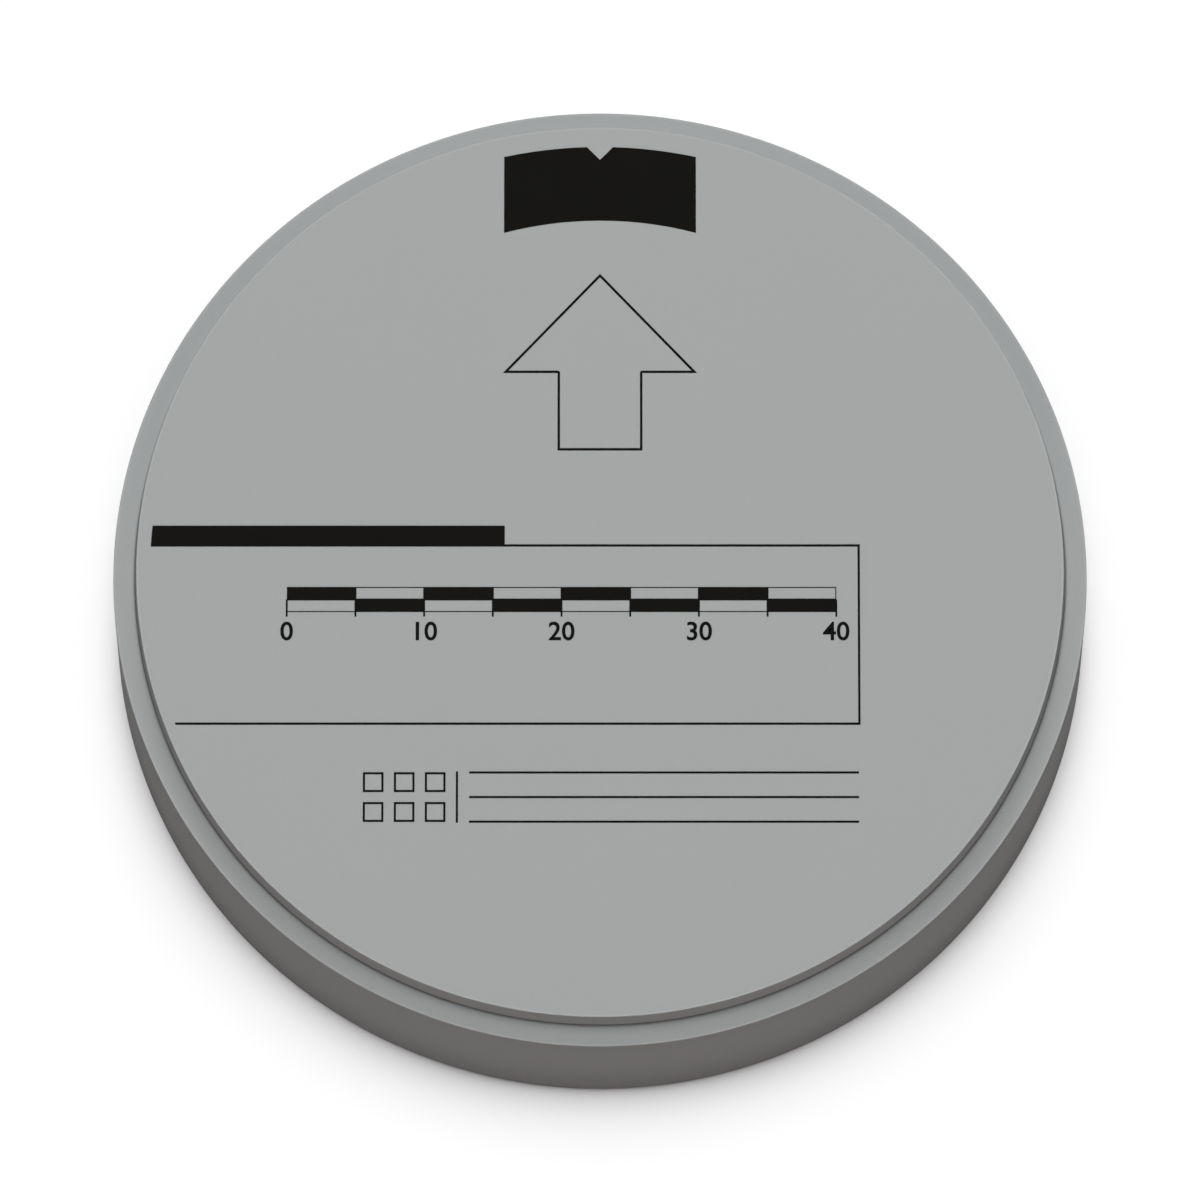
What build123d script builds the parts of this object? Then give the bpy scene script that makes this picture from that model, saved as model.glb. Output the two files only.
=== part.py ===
from build123d import *
import math
import os

# Dental milling disc: a pressed, unsintered metal-powder blank with ink marks on its raised face.
# Millimetres, +Z up. The origin is the centre of the flat base. The index mark is towards +Y.

# Pressed blank
disc_diameter = 71.0
disc_height = 14.0
ledge_width = 1.57
ledge_depth = 1.86
boss_draft = 0.14
boss_edge_break = 0.14
boss_root_fillet = 0.1
rim_edge_break = 0.16
base_edge_chamfer = 0.3

# Ink layer and the clear borders that it keeps to the edge of the raised face
ink_thickness = 0.02
print_border = 1.01
frame_border = 0.77
index_border = 1.5

# Index mark
index_width = 14.06
index_depth = 5.67
notch_width = 1.94
notch_depth = 1.0

# Label bar and label frame
bar_height = 1.59
bar_bottom_y = 1.69
bar_right_x = -6.94
frame_right_x = 18.93
frame_bottom_y = -11.82
frame_line = 0.17

# Outlined arrow between the bar and the index mark
arrow_width = 14.2
arrow_length = 13.52
arrow_bottom_y = 9.01
arrow_shaft_width = 6.2
arrow_head_length = 7.6
arrow_line = 0.18

# Plain scale across the label field
scale_left_x = -22.8
scale_top_y = -1.38
scale_step = 5.0
scale_steps = 8
scale_row_height = 0.95
scale_line = 0.14
tick_length = 0.35

# Bottom row: tick boxes, divider and three lines to write on
row_top_y = -15.34
row_height = 3.87
divider_x = -10.46
divider_line = 0.16
rule_gap = 0.8
rule_length = 28.3
rule_count = 3
rule_line = 0.16
box_size = 1.5
box_gap = 0.75
box_columns = 3
box_rows = 2
box_line = 0.16

# Sizes that follow from the ones above
disc_radius = disc_diameter / 2
rim_height = disc_height - ledge_depth
boss_root_radius = disc_radius - ledge_width
boss_radius = boss_root_radius - boss_draft
print_radius = boss_radius - print_border
frame_radius = boss_radius - frame_border
index_radius = boss_radius - index_border


# The blank is one revolved section: base, rim wall, ledge, slightly drafted boss wall and face.
def blank():
    corners = [
        (0, 0),
        (disc_radius, 0),
        (disc_radius, rim_height),
        (boss_root_radius, rim_height),
        (boss_radius, disc_height),
        (0, disc_height),
    ]
    section = make_face(Polyline(*corners, close=True))
    section = chamfer(nearest_vertex(section, disc_radius, 0), base_edge_chamfer)
    section = fillet(nearest_vertex(section, disc_radius, rim_height), rim_edge_break)
    section = fillet(nearest_vertex(section, boss_root_radius, rim_height), boss_root_fillet)
    section = fillet(nearest_vertex(section, boss_radius, disc_height), boss_edge_break)
    return revolve(Plane.XZ * section, Axis.Z)


# Corner of a flat section that lies nearest to a given point.
def nearest_vertex(section, x, y):
    return min(section.vertices(), key=lambda v: math.hypot(v.X - x, v.Y - y))


# Ink: a flat outline in the plane of the raised face, raised by the thickness of the layer.
def ink(outline):
    return extrude(Pos(0, 0, disc_height) * outline, amount=ink_thickness)


# Rectangle given by its left, right, bottom and top edges.
def span(left, right, bottom, top):
    return Pos((left + right) / 2, (bottom + top) / 2) * Rectangle(right - left, top - bottom)


# Black block along the back edge, cut by two circles round the disc's centre, with a V notch.
def index_mark():
    ring = Circle(index_radius) - Circle(index_radius - index_depth)
    block = ring & span(-index_width / 2, index_width / 2, 0, disc_radius)
    slope = notch_width / 2 / notch_depth
    tip_y = index_radius - notch_depth
    mouth_y = disc_radius
    mouth = slope * (mouth_y - tip_y)
    notch = make_face(Polyline((0, tip_y), (mouth, mouth_y), (-mouth, mouth_y), close=True))
    return ink(block - notch)


# Black bar from the left border to the label field.
def label_bar():
    bar = span(-disc_radius, bar_right_x, bar_bottom_y, bar_bottom_y + bar_height)
    return ink(bar & Circle(print_radius))


# Thin line round the label field, open at the left, where it ends at the border of the face.
def label_frame():
    top_y = bar_bottom_y + frame_line
    field = span(-disc_radius, frame_right_x, frame_bottom_y, top_y)
    inside = span(-disc_radius, frame_right_x - frame_line, frame_bottom_y + frame_line, bar_bottom_y)
    under_bar = span(-disc_radius, bar_right_x, bar_bottom_y, top_y)
    return ink((field - inside - under_bar) & Circle(frame_radius))


# Outlined arrow that points at the index notch.
def arrow_outline():
    shoulder_y = arrow_bottom_y + arrow_length - arrow_head_length
    tip_y = arrow_bottom_y + arrow_length
    outer = make_face(
        Polyline(
            (0, tip_y),
            (arrow_width / 2, shoulder_y),
            (arrow_shaft_width / 2, shoulder_y),
            (arrow_shaft_width / 2, arrow_bottom_y),
            (-arrow_shaft_width / 2, arrow_bottom_y),
            (-arrow_shaft_width / 2, shoulder_y),
            (-arrow_width / 2, shoulder_y),
            close=True,
        )
    )
    return ink(outer - offset(outer, -arrow_line))


# Chequered scale of equal steps in two rows, with a tick below each end of a step.
def scale_bar():
    right_x = scale_left_x + scale_step * scale_steps
    middle_y = scale_top_y - scale_row_height
    bottom_y = middle_y - scale_row_height
    marks = span(scale_left_x, right_x, bottom_y, scale_top_y)
    for step in range(scale_steps):
        left = scale_left_x + step * scale_step + scale_line / 2
        right = left + scale_step - scale_line
        high = scale_top_y if step % 2 else middle_y
        low = high - scale_row_height
        marks -= span(left, right, low + scale_line / 2, high - scale_line / 2)
    for end in range(scale_steps + 1):
        centre_x = scale_left_x + end * scale_step
        tick = span(centre_x - scale_line / 2, centre_x + scale_line / 2, bottom_y - tick_length, middle_y)
        marks += tick
    return ink(marks)


# Short upright line that parts the bottom row.
def note_divider():
    return ink(span(divider_x, divider_x + divider_line, row_top_y - row_height, row_top_y))


# Lines to write on, to the right of the divider.
def note_rules():
    left = divider_x + divider_line + rule_gap
    pitch = (row_height - rule_line) / (rule_count - 1)
    lines = Sketch()
    for number in range(rule_count):
        low = row_top_y - row_height + number * pitch
        lines += span(left, left + rule_length, low, low + rule_line)
    return ink(lines)


# Empty tick boxes, to the left of the divider.
def tick_boxes():
    pitch = box_size + box_gap
    middle_y = row_top_y - row_height / 2
    block_height = box_rows * pitch - box_gap
    boxes = Sketch()
    for column in range(box_columns):
        for row in range(box_rows):
            right = divider_x - box_gap - column * pitch
            low = middle_y - block_height / 2 + row * pitch
            outer = span(right - box_size, right, low, low + box_size)
            boxes += outer - offset(outer, -box_line)
    return ink(boxes)


parts = {
    "blank_disc": blank,
    "index_mark": index_mark,
    "label_bar": label_bar,
    "label_frame": label_frame,
    "arrow_outline": arrow_outline,
    "scale_bar": scale_bar,
    "note_divider": note_divider,
    "note_rules": note_rules,
    "tick_boxes": tick_boxes,
}

os.makedirs("parts", exist_ok=True)
for node, make in parts.items():
    export_step(make(), f"parts/{node}.step")
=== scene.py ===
import bpy
import math
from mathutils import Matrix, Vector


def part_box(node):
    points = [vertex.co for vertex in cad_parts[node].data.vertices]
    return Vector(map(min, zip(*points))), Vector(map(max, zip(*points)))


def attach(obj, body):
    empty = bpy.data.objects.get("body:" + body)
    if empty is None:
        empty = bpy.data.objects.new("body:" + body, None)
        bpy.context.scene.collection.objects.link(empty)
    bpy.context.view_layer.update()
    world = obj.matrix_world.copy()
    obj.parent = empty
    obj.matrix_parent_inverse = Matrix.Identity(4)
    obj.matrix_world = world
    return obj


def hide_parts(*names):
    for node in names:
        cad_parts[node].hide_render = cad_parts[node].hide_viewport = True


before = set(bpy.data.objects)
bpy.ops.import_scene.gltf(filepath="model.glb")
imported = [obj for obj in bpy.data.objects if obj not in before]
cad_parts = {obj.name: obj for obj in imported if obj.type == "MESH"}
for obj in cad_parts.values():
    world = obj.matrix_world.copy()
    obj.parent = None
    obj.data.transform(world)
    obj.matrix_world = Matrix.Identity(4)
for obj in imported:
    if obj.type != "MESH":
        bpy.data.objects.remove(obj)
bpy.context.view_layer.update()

# Pressed blank
# One solid disc of cobalt-chrome powder, pressed with a little binder. It stands on a flat base,
# and a ledge runs round its raised face for the clamp ring. It is matt and mid grey all through.
# Its colour is a touch lighter along its upper edges, partly rubbed edges and partly painted
# highlight, and carries painted shade: darker in the corner at the foot of the raised face, a shade
# darker over the ledge, and darker towards the foot of the outer wall.
mm = 0.001
disc_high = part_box("blank_disc")[1]
disc_radius = disc_high.x
disc_height = disc_high.z
base_edge_chamfer = 0.3 * mm
ledge_width = 1.57 * mm
ledge_depth = 1.86 * mm
rim_edge_break = 0.07 * mm
boss_draft = 0.14 * mm
boss_root_fillet = 0.1 * mm
boss_edge_break = 0.06 * mm
round_steps = 384
edge_steps = 6
smooth_up_to = math.radians(30)

foot_radius = disc_radius - base_edge_chamfer
rim_height = disc_height - ledge_depth
boss_root_radius = disc_radius - ledge_width
boss_radius = boss_root_radius - boss_draft


def extrude_up(rise, old_radius, new_radius):
    bpy.ops.mesh.extrude_region_move(TRANSFORM_OT_translate={"value": (0.0, 0.0, rise)})
    widen = new_radius / old_radius
    bpy.ops.transform.resize(value=(widen, widen, 1.0), center_override=(0.0, 0.0, 0.0))


def select_ring(piece, radius, height):
    close = 0.001 * mm
    bpy.ops.object.mode_set(mode="OBJECT")
    for part in (*piece.data.polygons, *piece.data.edges, *piece.data.vertices):
        part.select = False
    for vertex in piece.data.vertices:
        place = vertex.co
        at_radius = abs(math.hypot(place.x, place.y) - radius) < close
        vertex.select = at_radius and abs(place.z - height) < close
    bpy.ops.object.mode_set(mode="EDIT")


def round_ring(piece, radius, height, amount):
    select_ring(piece, radius, height)
    bpy.ops.mesh.bevel(offset=amount, segments=edge_steps, affect="EDGES")


bpy.ops.object.select_all(action="DESELECT")
bpy.ops.mesh.primitive_circle_add(vertices=round_steps, radius=foot_radius, fill_type="NGON")
blank = bpy.context.object
blank.name = "pressed_blank"
bpy.ops.object.mode_set(mode="EDIT")
bpy.context.tool_settings.mesh_select_mode = (True, False, False)
extrude_up(base_edge_chamfer, foot_radius, disc_radius)
extrude_up(rim_height - base_edge_chamfer, disc_radius, disc_radius)
extrude_up(0.0, disc_radius, boss_root_radius)
extrude_up(ledge_depth, boss_root_radius, boss_radius)
round_ring(blank, disc_radius, rim_height, rim_edge_break)
round_ring(blank, boss_root_radius, rim_height, boss_root_fillet)
round_ring(blank, boss_radius, disc_height, boss_edge_break)
bpy.ops.mesh.select_all(action="SELECT")
bpy.ops.mesh.normals_make_consistent(inside=False)
bpy.ops.object.mode_set(mode="OBJECT")
bpy.ops.object.shade_smooth_by_angle(angle=smooth_up_to)
even = blank.modifiers.new("even_flats", "WEIGHTED_NORMAL")
even.keep_sharp = True
bpy.ops.object.modifier_apply(modifier=even.name)


def calculation(tree, operation, *values):
    node = tree.nodes.new("ShaderNodeMath")
    node.operation = operation
    for socket, value in zip(node.inputs, values):
        if isinstance(value, float):
            socket.default_value = value
        else:
            tree.links.new(value, socket)
    return node.outputs["Value"]


def length_of(tree, vector):
    node = tree.nodes.new("ShaderNodeVectorMath")
    node.operation = "LENGTH"
    tree.links.new(vector, node.inputs[0])
    return node.outputs["Value"]


def effect_group(name, inputs, outputs):
    group = bpy.data.node_groups.new(name, "ShaderNodeTree")
    for socket_name, value in inputs.items():
        socket = group.interface.new_socket(socket_name, in_out="INPUT", socket_type="NodeSocketFloat")
        socket.default_value = value
    for socket_name in outputs:
        group.interface.new_socket(socket_name, in_out="OUTPUT", socket_type="NodeSocketFloat")
    given = group.nodes.new("NodeGroupInput").outputs
    result = group.nodes.new("NodeGroupOutput").inputs
    return group, given, result


# Fine grain, broad soft patches and rare lighter specks.
def powder_grain_group():
    sizes = {"Grain Size": 0.12 * mm, "Patch Size": 11 * mm, "Speck Spacing": 0.45 * mm}
    contrasts = {"Grain Contrast": 0.06, "Patch Contrast": 0.012, "Speck Contrast": 0.05}
    speck_share = 0.2
    speck_radius = 0.09
    group, given, result = effect_group("powder_grain", {**sizes, **contrasts}, ("Shade", "Height"))
    place = group.nodes.new("ShaderNodeTexCoord").outputs["Object"]

    def pattern(kind, size_name):
        texture = group.nodes.new(kind)
        scale = calculation(group, "DIVIDE", 1.0, given[size_name])
        group.links.new(scale, texture.inputs["Scale"])
        group.links.new(place, texture.inputs["Vector"])
        return texture

    def cloud(size_name, detail):
        noise = pattern("ShaderNodeTexNoise", size_name)
        noise.inputs["Detail"].default_value = detail
        return calculation(group, "SUBTRACT", noise.outputs["Fac"], 0.5)

    speck = pattern("ShaderNodeTexVoronoi", "Speck Spacing")
    chance = group.nodes.new("ShaderNodeSeparateColor")
    group.links.new(speck.outputs["Color"], chance.inputs["Color"])
    chosen = calculation(group, "LESS_THAN", chance.outputs["Red"], speck_share)
    near = calculation(group, "LESS_THAN", speck.outputs["Distance"], speck_radius)
    bright_speck = calculation(group, "MULTIPLY", chosen, near)

    grain = cloud("Grain Size", detail=4.0)
    patch = cloud("Patch Size", detail=2.0)
    shade = calculation(group, "MULTIPLY_ADD", grain, given["Grain Contrast"], 1.0)
    shade = calculation(group, "MULTIPLY_ADD", patch, given["Patch Contrast"], shade)
    shade = calculation(group, "MULTIPLY_ADD", bright_speck, given["Speck Contrast"], shade)
    group.links.new(shade, result["Shade"])
    group.links.new(grain, result["Height"])
    return group


# Ring round the disc's axis, strongest on its line and gone at its width to each side.
def edge_band_group():
    inputs = {"Edge Radius": disc_radius, "Edge Height": rim_height, "Width": 0.2 * mm}
    group, given, result = effect_group("edge_band", inputs, ("Mask",))
    place = group.nodes.new("ShaderNodeTexCoord")
    axes = group.nodes.new("ShaderNodeSeparateXYZ")
    group.links.new(place.outputs["Object"], axes.inputs["Vector"])
    flat = group.nodes.new("ShaderNodeCombineXYZ")
    group.links.new(axes.outputs["X"], flat.inputs["X"])
    group.links.new(axes.outputs["Y"], flat.inputs["Y"])
    reach = length_of(group, flat.outputs["Vector"])
    outwards = calculation(group, "SUBTRACT", reach, given["Edge Radius"])
    outwards = calculation(group, "MULTIPLY", outwards, outwards)
    upwards = calculation(group, "SUBTRACT", axes.outputs["Z"], given["Edge Height"])
    away = calculation(group, "SQRT", calculation(group, "MULTIPLY_ADD", upwards, upwards, outwards))
    share = calculation(group, "DIVIDE", away, given["Width"])
    mask = calculation(group, "MAXIMUM", calculation(group, "SUBTRACT", 1.0, share), 0.0)
    group.links.new(mask, result["Mask"])
    return group


powder_grain = powder_grain_group()
edge_band = edge_band_group()


def grainy_material(name, gloss):
    material = bpy.data.materials.new(name)
    material.use_nodes = True
    tree = material.node_tree
    shader = tree.nodes["Principled BSDF"]
    shader.inputs["Specular IOR Level"].default_value = gloss
    grain = tree.nodes.new("ShaderNodeGroup")
    grain.node_tree = powder_grain
    return material, tree, shader, grain


def shaded_colour(tree, colour, shade):
    node = tree.nodes.new("ShaderNodeVectorMath")
    node.operation = "SCALE"
    node.inputs[0].default_value = colour
    tree.links.new(shade, node.inputs["Scale"])
    return node.outputs["Vector"]


def bumps(tree, height, strength, depth):
    node = tree.nodes.new("ShaderNodeBump")
    node.inputs["Strength"].default_value = strength
    node.inputs["Distance"].default_value = depth
    tree.links.new(height, node.inputs["Height"])
    return node.outputs["Normal"]


powder_colour = (0.375, 0.387, 0.384)
powder_gloss = 0.1
powder_roughness = 0.86
powder_bump = 0.3
powder_bump_depth = 0.01 * mm
edge_line_width = 0.11 * mm

# Radius, height, width of the band, change of shade and change of roughness.
powder_bands = {
    # Lighter line along the raised face's edge: partly a rubbed edge, partly a painted highlight.
    "face_edge_wear_and_highlight": (boss_radius - 0.08 * mm, disc_height, edge_line_width, 0.08, -0.2),
    # Painted shade: darker in the corner at the foot of the raised face.
    "painted_shade_at_foot_of_face": (boss_root_radius, rim_height + 0.12 * mm, 0.21 * mm, -0.72, 0.1),
    # Painted shade: the recessed ledge a shade darker than the raised face.
    "ledge": (disc_radius - ledge_width / 2, rim_height, 2.5 * mm, -0.05, 0.0),
    # Lighter line along the ledge's outer edge: partly a rubbed edge, partly a painted highlight.
    "ledge_edge_wear_and_highlight": (disc_radius - 0.09 * mm, rim_height, edge_line_width, 0.08, -0.2),
    # Painted shade: darker towards the foot of the outer wall and the edge of the base.
    "painted_shade_near_floor": (disc_radius, 0.0, 5.5 * mm, -0.2, 0.0),
}
powder, tree, shader, grain = grainy_material("pressed_powder", powder_gloss)
shade = grain.outputs["Shade"]
rough = powder_roughness
for radius, height, width, lift, rougher in powder_bands.values():
    band = tree.nodes.new("ShaderNodeGroup")
    band.node_tree = edge_band
    band.inputs["Edge Radius"].default_value = radius
    band.inputs["Edge Height"].default_value = height
    band.inputs["Width"].default_value = width
    shade = calculation(tree, "MULTIPLY_ADD", band.outputs["Mask"], lift, shade)
    rough = calculation(tree, "MULTIPLY_ADD", band.outputs["Mask"], rougher, rough)
tree.links.new(shaded_colour(tree, powder_colour, shade), shader.inputs["Base Color"])
tree.links.new(rough, shader.inputs["Roughness"])

# The die leaves hardly visible lines round the upright walls, so the pattern is stretched across.
line_pitch = 0.3 * mm
line_strength = 0.15
line_squeeze = 0.01
place = tree.nodes.new("ShaderNodeTexCoord")
squeeze = tree.nodes.new("ShaderNodeMapping")
squeeze.inputs["Scale"].default_value = (line_squeeze, line_squeeze, 1.0)
tree.links.new(place.outputs["Object"], squeeze.inputs["Vector"])
lines = tree.nodes.new("ShaderNodeTexNoise")
lines.inputs["Scale"].default_value = 1 / line_pitch
tree.links.new(squeeze.outputs["Vector"], lines.inputs["Vector"])
relief = calculation(tree, "MULTIPLY_ADD", lines.outputs["Fac"], line_strength, grain.outputs["Height"])
tree.links.new(bumps(tree, relief, powder_bump, powder_bump_depth), shader.inputs["Normal"])
blank.data.materials.append(powder)
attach(blank, "root")
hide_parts("blank_disc")

# Printed marks
# A thin film of black ink is printed on the raised face: the index block, the bar, the frame of
# the label field, the arrow, the scale, and the row of boxes and lines to write on. The film
# lets a little of the powder's grain through.
ink_colour = (0.0042, 0.004, 0.0031)
ink_gloss = 0.03
ink_contrasts = {"Grain Contrast": 1.2, "Patch Contrast": 0.4, "Speck Contrast": 0.6}
ink_roughness = 0.65
ink_roughness_change = 0.3
ink_bump = 0.2
ink_bump_depth = 0.008 * mm
ink, tree, shader, grain = grainy_material("black_ink", ink_gloss)
for contrast_name, contrast in ink_contrasts.items():
    grain.inputs[contrast_name].default_value = contrast
relief = grain.outputs["Height"]
rough = calculation(tree, "MULTIPLY_ADD", relief, ink_roughness_change, ink_roughness)
ink_shade = shaded_colour(tree, ink_colour, grain.outputs["Shade"])
tree.links.new(ink_shade, shader.inputs["Base Color"])
tree.links.new(rough, shader.inputs["Roughness"])
tree.links.new(bumps(tree, relief, ink_bump, ink_bump_depth), shader.inputs["Normal"])
for name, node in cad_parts.items():
    if name != "blank_disc":
        node.data.materials[0] = ink

# Numbers of the scale
# Plain numbers stand under every second step of the scale. They are printed together with it,
# as part of the same thin film of black ink.
scale_low, scale_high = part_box("scale_bar")
scale_line = 0.14 * mm
number_count = 5
number_step = 10
number_size = 1.95 * mm
number_gap = 0.2 * mm
number_boldness = 0.03 * mm
merge_distance = 0.0001 * mm
first_x = scale_low.x + scale_line / 2
last_x = scale_high.x - scale_line / 2
ink_height = scale_high.z - scale_low.z
for position in range(number_count):
    bpy.ops.object.select_all(action="DESELECT")
    bpy.ops.object.text_add()
    number = bpy.context.object
    number.name = f"scale_number_{position * number_step}"
    number.data.body = str(position * number_step)
    number.data.size = number_size
    number.data.align_x = "CENTER"
    number.data.align_y = "TOP"
    number.data.offset = number_boldness
    number.data.extrude = ink_height / 2
    bpy.ops.object.convert(target="MESH")
    across = first_x + (last_x - first_x) * position / (number_count - 1)
    number.location = (across, scale_low.y - number_gap, scale_low.z + ink_height / 2)
    bpy.ops.object.transform_apply(location=True, rotation=True, scale=True)
    bpy.ops.object.mode_set(mode="EDIT")
    bpy.ops.mesh.select_all(action="SELECT")
    bpy.ops.mesh.remove_doubles(threshold=merge_distance)
    bpy.ops.mesh.normals_make_consistent(inside=False)
    bpy.ops.object.mode_set(mode="OBJECT")
    number.data.materials.clear()
    number.data.materials.append(ink)
    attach(number, "root")

# Camera
# A long lens looks down on the disc from the front, nearly from above. The middle of the rim's
# top edge lies a little above the middle of the picture, as in the photograph.
camera_distance = 1.2354
camera_elevation = math.radians(73.47)
lens = 508.1
sensor = 36.0
image_size = 1200
rise_in_image = 23.9
nearest_seen = 0.01
furthest_seen = 20.0
bpy.ops.object.select_all(action="DESELECT")
bpy.ops.object.camera_add()
camera = bpy.context.object
camera.name = "camera"
camera.data.lens = lens
camera.data.sensor_width = sensor
camera.data.clip_start = nearest_seen
camera.data.clip_end = furthest_seen
camera.location = (
    0.0,
    -camera_distance * math.cos(camera_elevation),
    rim_height + camera_distance * math.sin(camera_elevation),
)
drop_angle = math.atan(rise_in_image / image_size * sensor / lens)
camera.rotation_euler = (math.pi / 2 - camera_elevation - drop_angle, 0.0, 0.0)
bpy.context.scene.camera = camera

# Floor
# A white sheet that the disc stands on. Near the disc it is lit and takes the disc's real soft shadow,
# and its white glow is weakened there as a painted shadow that fades to pure white a few millimetres
# away. It throws only a little warm light back on to the disc's sides.
# It leaves out the round spot under the disc and is clear from below, to show the base.
floor_radius = 4.0
bpy.ops.object.select_all(action="DESELECT")
bpy.ops.mesh.primitive_circle_add(vertices=round_steps, radius=foot_radius, fill_type="NOTHING")
floor = bpy.context.object
floor.name = "floor"
bpy.ops.object.mode_set(mode="EDIT")
extrude_up(0.0, foot_radius, floor_radius)
bpy.ops.mesh.select_all(action="SELECT")
bpy.ops.object.mode_set(mode="OBJECT")
if floor.data.polygons[0].normal.z < 0:
    bpy.ops.object.mode_set(mode="EDIT")
    bpy.ops.mesh.flip_normals()
    bpy.ops.object.mode_set(mode="OBJECT")


def fade(tree, away, length):
    return calculation(tree, "EXPONENT", calculation(tree, "DIVIDE", away, -length))


def seen_directly(tree):
    path = tree.nodes.new("ShaderNodeLightPath").outputs
    seen = calculation(tree, "MAXIMUM", path["Is Camera Ray"], path["Is Glossy Ray"])
    return calculation(tree, "MAXIMUM", seen, path["Is Transmission Ray"])


def mixed_shader(tree, share, first, second):
    mix = tree.nodes.new("ShaderNodeMixShader")
    for socket, source in zip(mix.inputs, (share, first, second)):
        tree.links.new(source, socket)
    return mix.outputs["Shader"]


bounce_colour = (0.28, 0.275, 0.27, 1.0)
shadow_colour = (0.853, 0.857, 0.866)
shadow_fade = 2.45 * mm
contact_fade = 0.35 * mm
far_glow = 1.03
near_glow = 0.22
painted_contact_shadow = 0.22
paper = bpy.data.materials.new("white_floor")
paper.use_nodes = True
tree = paper.node_tree
tree.nodes.clear()

# The shadow, real and painted, is centred a little in front of the disc, so that it reaches furthest
# there.
painted_shadow_shift = 0.7 * mm
place = tree.nodes.new("ShaderNodeTexCoord")
forwards = tree.nodes.new("ShaderNodeVectorMath")
forwards.operation = "ADD"
forwards.inputs[1].default_value = (0.0, painted_shadow_shift, 0.0)
tree.links.new(place.outputs["Object"], forwards.inputs[0])
reach = length_of(tree, forwards.outputs["Vector"])
away = calculation(tree, "SUBTRACT", reach, disc_radius - painted_shadow_shift)
away = calculation(tree, "MAXIMUM", away, 0.0)
near_disc = fade(tree, away, shadow_fade)

# Close to the disc the sheet is lit like the disc and takes its real shadow. Further off it glows plain
# white, and this glow fades out towards the disc as a painted shadow.
lit = tree.nodes.new("ShaderNodeBsdfDiffuse")
tree.links.new(shaded_colour(tree, shadow_colour, near_disc), lit.inputs["Color"])
glow_strength = calculation(tree, "MULTIPLY_ADD", near_disc, -far_glow, far_glow)
near_share = calculation(tree, "MULTIPLY", near_disc, near_disc)
glow_strength = calculation(tree, "MULTIPLY_ADD", near_share, near_glow, glow_strength)
# Painted contact shadow: a thin dark line in the glow along the disc's foot.
contact = fade(tree, away, contact_fade)
glow_strength = calculation(tree, "MULTIPLY_ADD", contact, -painted_contact_shadow, glow_strength)
glow = tree.nodes.new("ShaderNodeEmission")
tree.links.new(glow_strength, glow.inputs["Strength"])
seen_floor = tree.nodes.new("ShaderNodeAddShader")
tree.links.new(lit.outputs["BSDF"], seen_floor.inputs[0])
tree.links.new(glow.outputs["Emission"], seen_floor.inputs[1])

# The sheet throws less light back on to the disc than it shows, and is clear from below.
dull = tree.nodes.new("ShaderNodeBsdfDiffuse")
dull.inputs["Color"].default_value = bounce_colour
from_above = mixed_shader(tree, seen_directly(tree), dull.outputs["BSDF"], seen_floor.outputs["Shader"])
clear = tree.nodes.new("ShaderNodeBsdfTransparent")
facing = tree.nodes.new("ShaderNodeNewGeometry")
sheet = mixed_shader(tree, facing.outputs["Backfacing"], from_above, clear.outputs["BSDF"])
output = tree.nodes.new("ShaderNodeOutputMaterial")
tree.links.new(sheet, output.inputs["Surface"])
floor.data.materials.append(paper)

# Light
# Round soft boxes hang one metre from the disc, in a dim room: the main pair overhead, a pair
# behind it for the back of the ledge, a warm one low in front and one on each side. What little
# light comes from under the floor reaches only the disc's base.
room_colour = (1.0, 0.98, 0.96, 1.0)
room_above = 0.02
room_below = 0.4
world = bpy.data.worlds.new("studio")
bpy.context.scene.world = world
world.use_nodes = True
tree = world.node_tree
tree.nodes.clear()
direction = tree.nodes.new("ShaderNodeTexCoord")
axes = tree.nodes.new("ShaderNodeSeparateXYZ")
tree.links.new(direction.outputs["Generated"], axes.inputs["Vector"])
underneath = calculation(tree, "LESS_THAN", axes.outputs["Z"], 0.0)
room_strength = calculation(tree, "MULTIPLY_ADD", underneath, room_below, room_above)
room = tree.nodes.new("ShaderNodeBackground")
room.inputs["Color"].default_value = room_colour
tree.links.new(room_strength, room.inputs["Strength"])
white = tree.nodes.new("ShaderNodeBackground")
white.inputs["Color"].default_value = (1.0, 1.0, 1.0, 1.0)
studio = mixed_shader(tree, seen_directly(tree), room.outputs["Background"], white.outputs["Background"])
output = tree.nodes.new("ShaderNodeOutputWorld")
tree.links.new(studio, output.inputs["Surface"])

# Tilt from straight above and turn round the disc in degrees, power in watts, and tint.
box_distance = 1.0
box_size = 0.35
cool = (0.96, 1.0, 1.03)
plain = (1.0, 1.0, 1.0)
warm = (1.1, 0.97, 0.945)
soft_boxes = {
    "over": (0.0, 0.0, 3.4, cool),
    "over_back": (15.0, 0.0, 2.7, plain),
    "back": (45.0, 0.0, 1.65, plain),
    "back_low": (60.0, 0.0, 2.0, plain),
    "front_low": (70.0, 180.0, 1.95, warm),
    "left": (45.0, 90.0, 0.58, warm),
    "right": (45.0, -90.0, 0.58, warm),
}
for box_name, (tilt, turn, power, tint) in soft_boxes.items():
    lean = math.radians(tilt)
    heading = math.radians(turn)
    sideways = box_distance * math.sin(lean)
    up = box_distance * math.cos(lean)
    bpy.ops.object.light_add(
        type="AREA",
        location=(-sideways * math.sin(heading), sideways * math.cos(heading), up),
        rotation=(-lean, 0.0, heading),
    )
    box = bpy.context.object
    box.name = f"soft_box_{box_name}"
    box.data.shape = "DISK"
    box.data.size = box_size
    box.data.energy = power
    box.data.color = tint

bpy.context.scene.view_settings.view_transform = "Standard"
